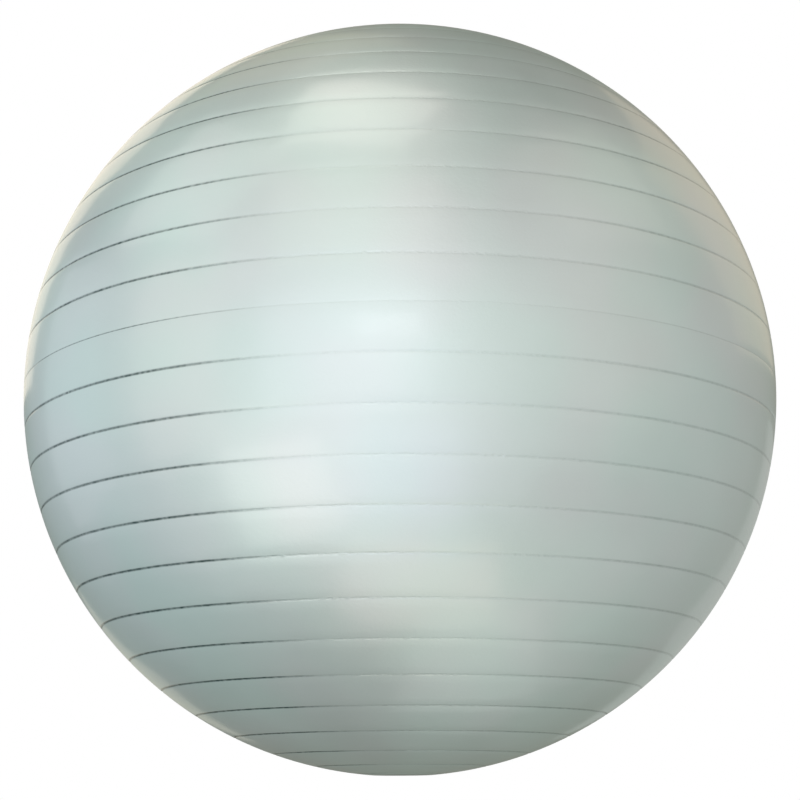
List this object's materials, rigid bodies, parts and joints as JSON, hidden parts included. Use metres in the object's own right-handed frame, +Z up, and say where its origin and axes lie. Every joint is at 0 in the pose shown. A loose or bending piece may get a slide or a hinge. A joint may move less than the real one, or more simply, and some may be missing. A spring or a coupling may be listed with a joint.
{
  "type": "exercise ball",
  "caption": "Inflated exercise ball with fine level grooves round its skin, a moulded-in valve seat and a push-in air plug.",
  "frame": {"origin": "centre of the flat contact patch under the ball", "axes": "+Z up through the valve, along the axis that all the rings share; +X and +Y are free, as the ball is round"},
  "size_m": [0.65, 0.65, 0.6489],
  "materials": {
    "skin": "satin",
    "valve": "matte",
    "plug": "satin"
  },
  "bodies": {
    "ball": {"ball_shell": "skin", "valve_seat": "valve"},
    "plug": {"air_plug": "plug"}
  },
  "joints": [
    {"name": "plug_pull", "type": "slide", "parent": "ball", "child": "plug", "axis": [0, 0, 1], "range_m": [0, 0.028]}
  ]
}
